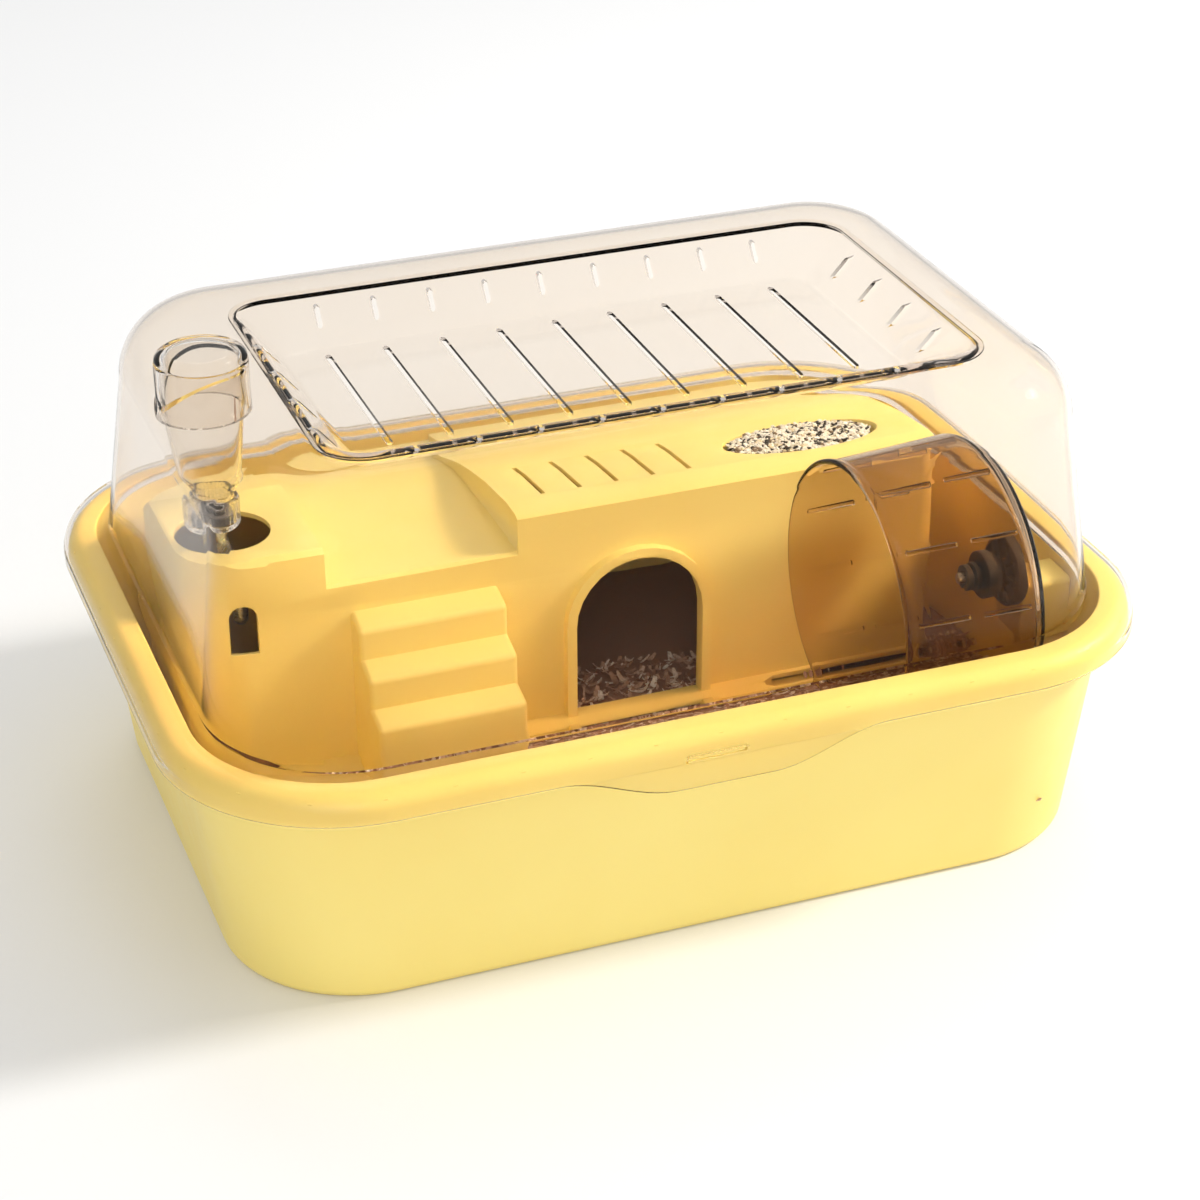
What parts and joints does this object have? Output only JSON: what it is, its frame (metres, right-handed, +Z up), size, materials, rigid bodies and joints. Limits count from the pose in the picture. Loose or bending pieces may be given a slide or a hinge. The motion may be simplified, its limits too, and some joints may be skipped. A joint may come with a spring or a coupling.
{
  "type": "hamster cage",
  "caption": "Small-animal cage: deep tub with rolled rim, clear domed lid with slotted vent tray, one-piece play platform, running wheel and drinking bottle.",
  "frame": {"origin": "middle of the tub's underside, on the surface it stands on", "axes": "+Z up, -Y the front with the thumb tab, +X to the right seen from the front, along the long side"},
  "size_m": [0.47, 0.359, 0.2466],
  "materials": {
    "tub_plastic": "satin moulded",
    "platform_plastic": "satin moulded",
    "clear_plastic": "clear smoky polished",
    "wheel_plastic": "clear brown polished",
    "dark_plastic": "satin moulded",
    "bottle_plastic": "clear polished",
    "steel": "turned",
    "rubber": "moulded",
    "shavings": "loose wood shavings",
    "seeds": "loose dry seed mix"
  },
  "bodies": {
    "base": {"base_tub": "tub_plastic", "bedding_open": "shavings", "bedding_house": "shavings", "axle_mount": "dark_plastic", "axle_pin": "steel", "axle_clip": "dark_plastic", "mount_screw_front": "steel", "mount_screw_back": "steel"},
    "platform": {"play_platform": "platform_plastic", "seed_fill": "seeds"},
    "lid": {"lid_dome": "clear_plastic"},
    "vent": {"vent_panel": "clear_plastic"},
    "wheel": {"wheel_drum": "wheel_plastic", "hub_boss": "dark_plastic", "hub_bush": "dark_plastic"},
    "bottle": {"bottle_body": "bottle_plastic", "bottle_cap": "bottle_plastic", "cap_gasket": "rubber", "sipper_tube": "steel"},
    "ball": {"sipper_ball": "steel"}
  },
  "joints": [
    {"name": "lid_lift", "type": "slide", "parent": "base", "child": "lid", "axis": [0, 0, 1], "range_m": [0, 0.15]},
    {"name": "platform_lift", "type": "slide", "parent": "base", "child": "platform", "axis": [0, 0, 1], "range_m": [0, 0.06]},
    {"name": "vent_lift", "type": "slide", "parent": "lid", "child": "vent", "axis": [0, 0, 1], "range_m": [0, 0.06]},
    {"name": "bottle_lift", "type": "slide", "parent": "lid", "child": "bottle", "axis": [0, 0, 1], "range_m": [0, 0.13]},
    {"name": "wheel_spin", "type": "hinge", "parent": "base", "child": "wheel", "pos_m": [0.1365, -0.08, 0.113], "axis": [1, 0, 0], "continuous": true},
    {"name": "ball_push", "type": "slide", "parent": "bottle", "child": "ball", "axis": [0, 0, 1], "range_m": [0, 0.001]}
  ],
  "couplings": [
    {"joint": "platform_lift", "follows": "lid_lift", "ratio": 0.4}
  ]
}
